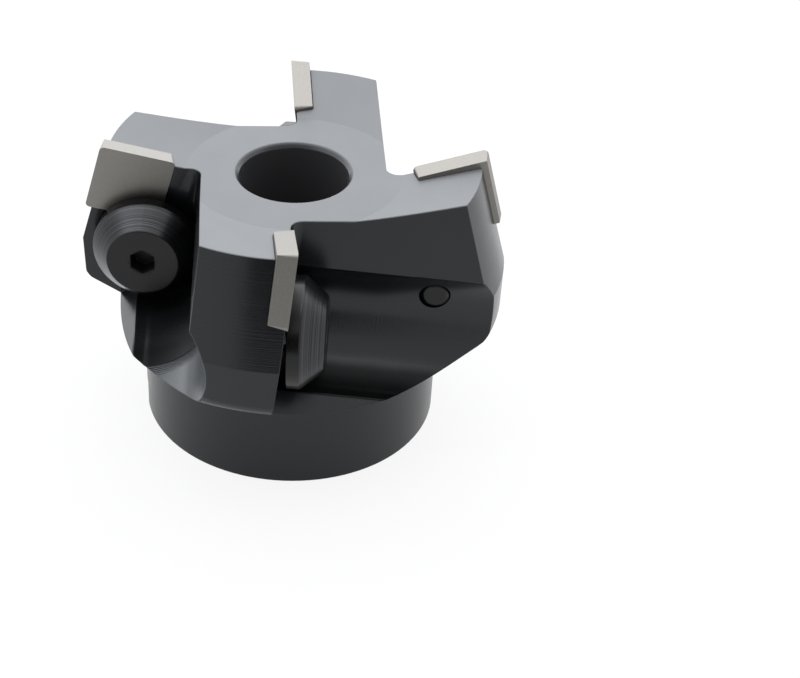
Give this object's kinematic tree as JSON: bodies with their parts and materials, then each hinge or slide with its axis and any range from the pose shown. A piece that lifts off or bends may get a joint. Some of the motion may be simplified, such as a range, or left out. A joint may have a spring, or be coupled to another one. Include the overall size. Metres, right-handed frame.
{
  "type": "indexable face mill",
  "caption": "Shell-type face mill with square carbide inserts, each held in its tooth by a cone-headed screw beside a deep chip gullet.",
  "frame": {"origin": "centre of the back face, which seats on the arbor's shoulder", "axes": "+Z along the cutter's axis, from the back face to the cutting face; +X through the cutting tip of tooth 1"},
  "size_m": [0.0718, 0.0718, 0.0498],
  "materials": {
    "black_oxide_steel": "turned and milled steel, black oxide, semi-gloss",
    "ground_carbide": "ground tungsten carbide, satin",
    "black_oxide_screw": "turned steel, black oxide, fine turning rings"
  },
  "bodies": {
    "root": {"cutter_body": "black_oxide_steel", "insert_1": "ground_carbide", "insert_2": "ground_carbide", "insert_3": "ground_carbide", "insert_4": "ground_carbide", "clamp_screw_1": "black_oxide_screw", "clamp_screw_2": "black_oxide_screw", "clamp_screw_3": "black_oxide_screw", "clamp_screw_4": "black_oxide_screw"}
  },
  "joints": []
}
